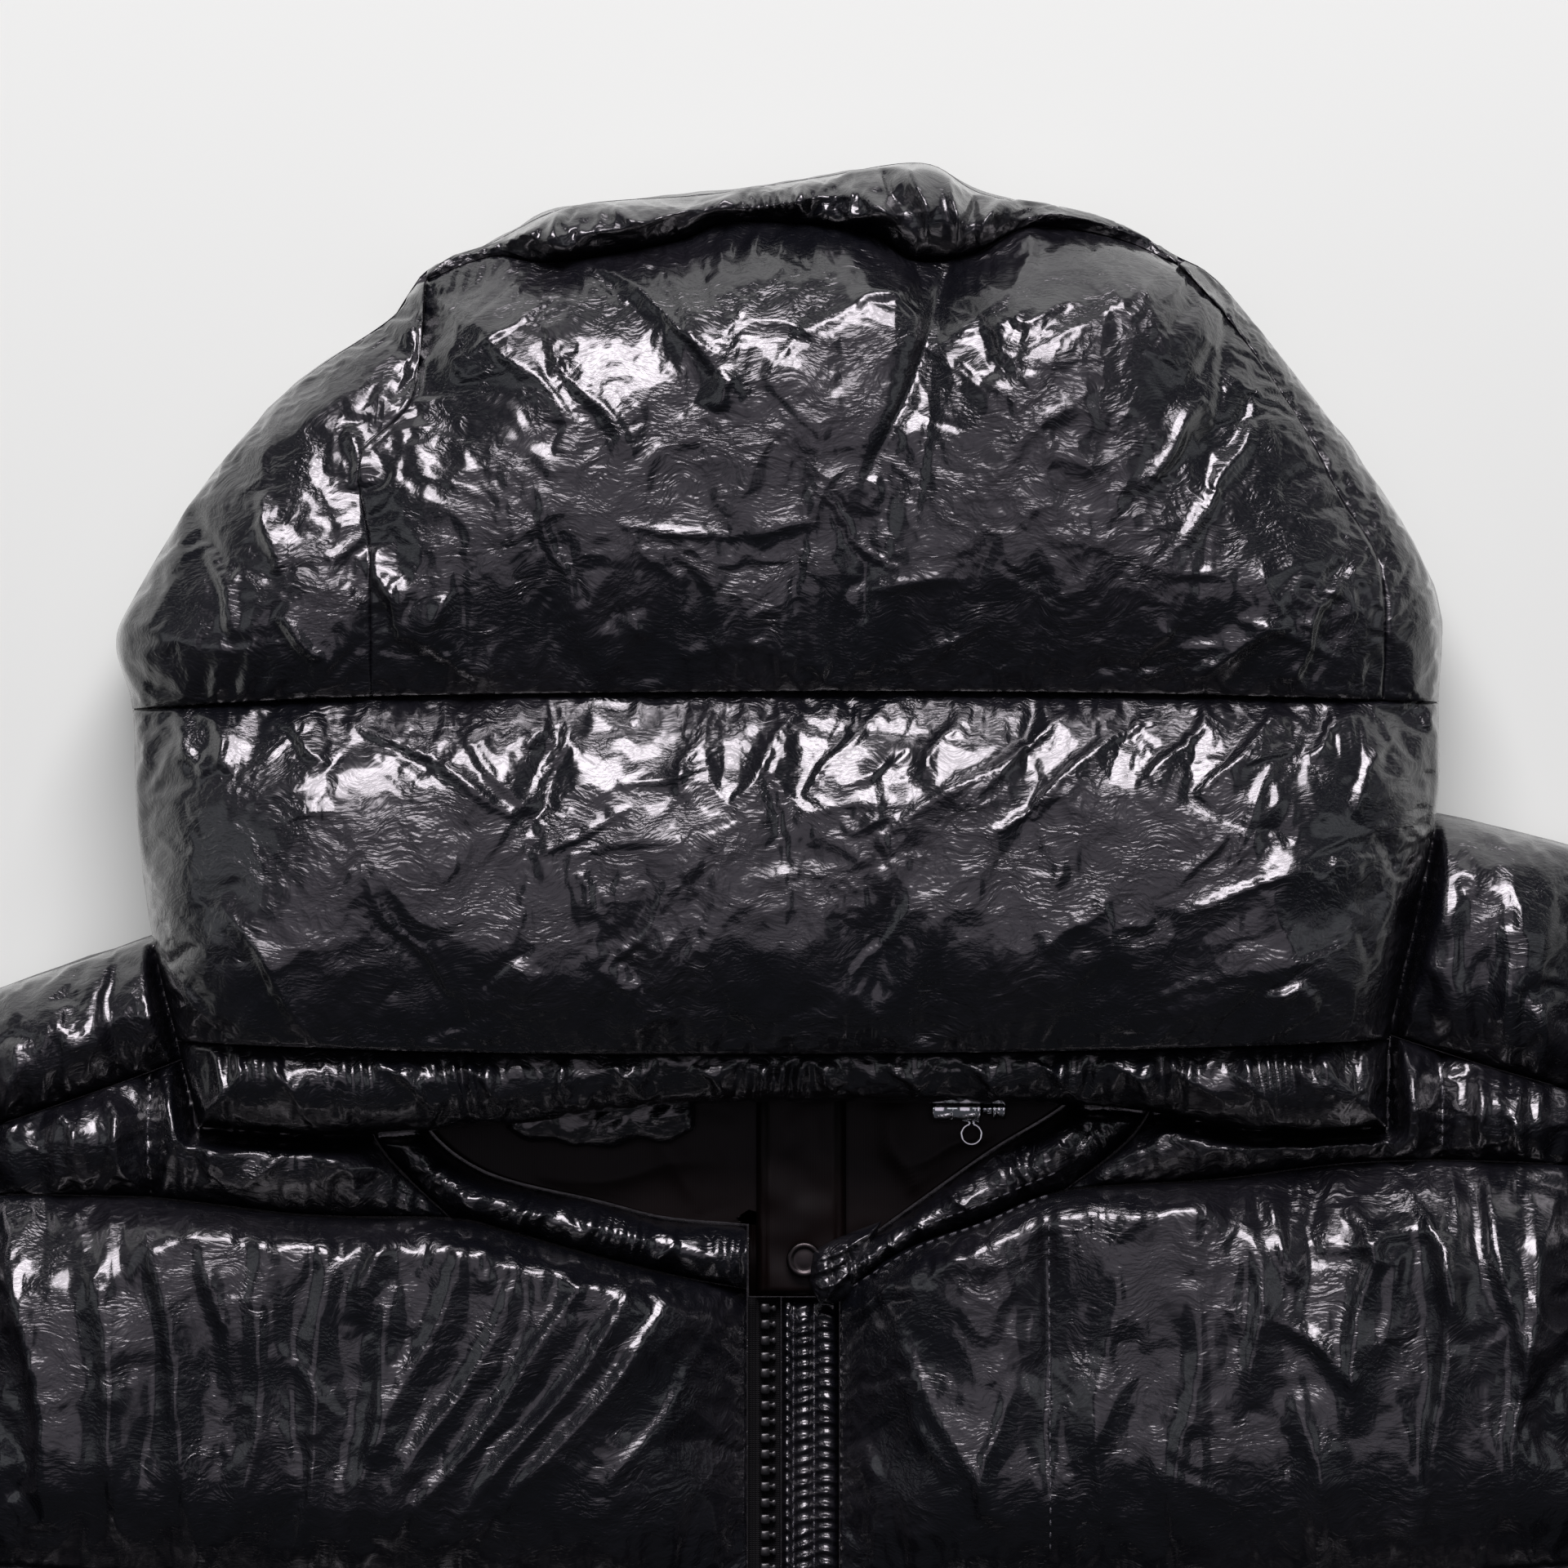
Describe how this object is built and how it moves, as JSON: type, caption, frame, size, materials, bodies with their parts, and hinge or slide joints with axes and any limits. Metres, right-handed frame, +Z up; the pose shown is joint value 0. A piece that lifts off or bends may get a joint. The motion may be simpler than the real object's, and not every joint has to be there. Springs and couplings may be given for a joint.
{
  "type": "hooded puffer jacket, laid flat",
  "caption": "Hooded quilted down jacket laid flat on its back, hood folded forward over a V neck opening, zip front with ruched placket, snap and metal cord lock.",
  "frame": {"origin": "on the table under the middle of the laid-out jacket's bounding box", "axes": "+Z up from the table, +Y from the hem towards the hood, +X towards the sleeve on the right as seen from above"},
  "size_m": [0.9852, 0.8862, 0.0905],
  "materials": {
    "shell_nylon": "glossy crinkled black nylon with a wet look",
    "lining": "smooth satin lining, brown-black",
    "zip_tape": "matt black woven tape",
    "dark_metal": "dark nickel plate",
    "polished_metal": "polished chrome plate"
  },
  "bodies": {
    "jacket": {"back": "shell_nylon", "front_left": "shell_nylon", "front_right": "shell_nylon", "yoke_left": "shell_nylon", "yoke_right": "shell_nylon", "sleeve_left_back": "shell_nylon", "sleeve_left_front": "shell_nylon", "sleeve_right_back": "shell_nylon", "sleeve_right_front": "shell_nylon", "hood_back": "shell_nylon", "hood_crown": "shell_nylon", "hood_side_left": "shell_nylon", "hood_side_right": "shell_nylon", "hood_front": "shell_nylon", "hood_brim": "shell_nylon", "collar_left": "shell_nylon", "collar_right": "shell_nylon", "neck_lining": "lining", "zip_tape": "zip_tape", "placket": "shell_nylon", "chin_guard": "lining", "snap_button": "dark_metal", "zip_slider": "dark_metal", "cord_lock_barrel": "polished_metal", "cord_lock_ring": "polished_metal"},
    "plunger": {"cord_lock_plunger": "polished_metal"},
    "pull_tab": {"zip_pull": "dark_metal"}
  },
  "joints": [
    {"name": "plunger_press", "type": "slide", "parent": "jacket", "child": "plunger", "axis": [-1, 0, 0], "range_m": [0, 0.0032], "stiffness_N_per_m": 400},
    {"name": "pull_tab_swing", "type": "hinge", "parent": "jacket", "child": "pull_tab", "pos_m": [-0.0044, -0.42109, 0.035], "axis": [1, 0, 0], "range_deg": [0, 170]}
  ]
}
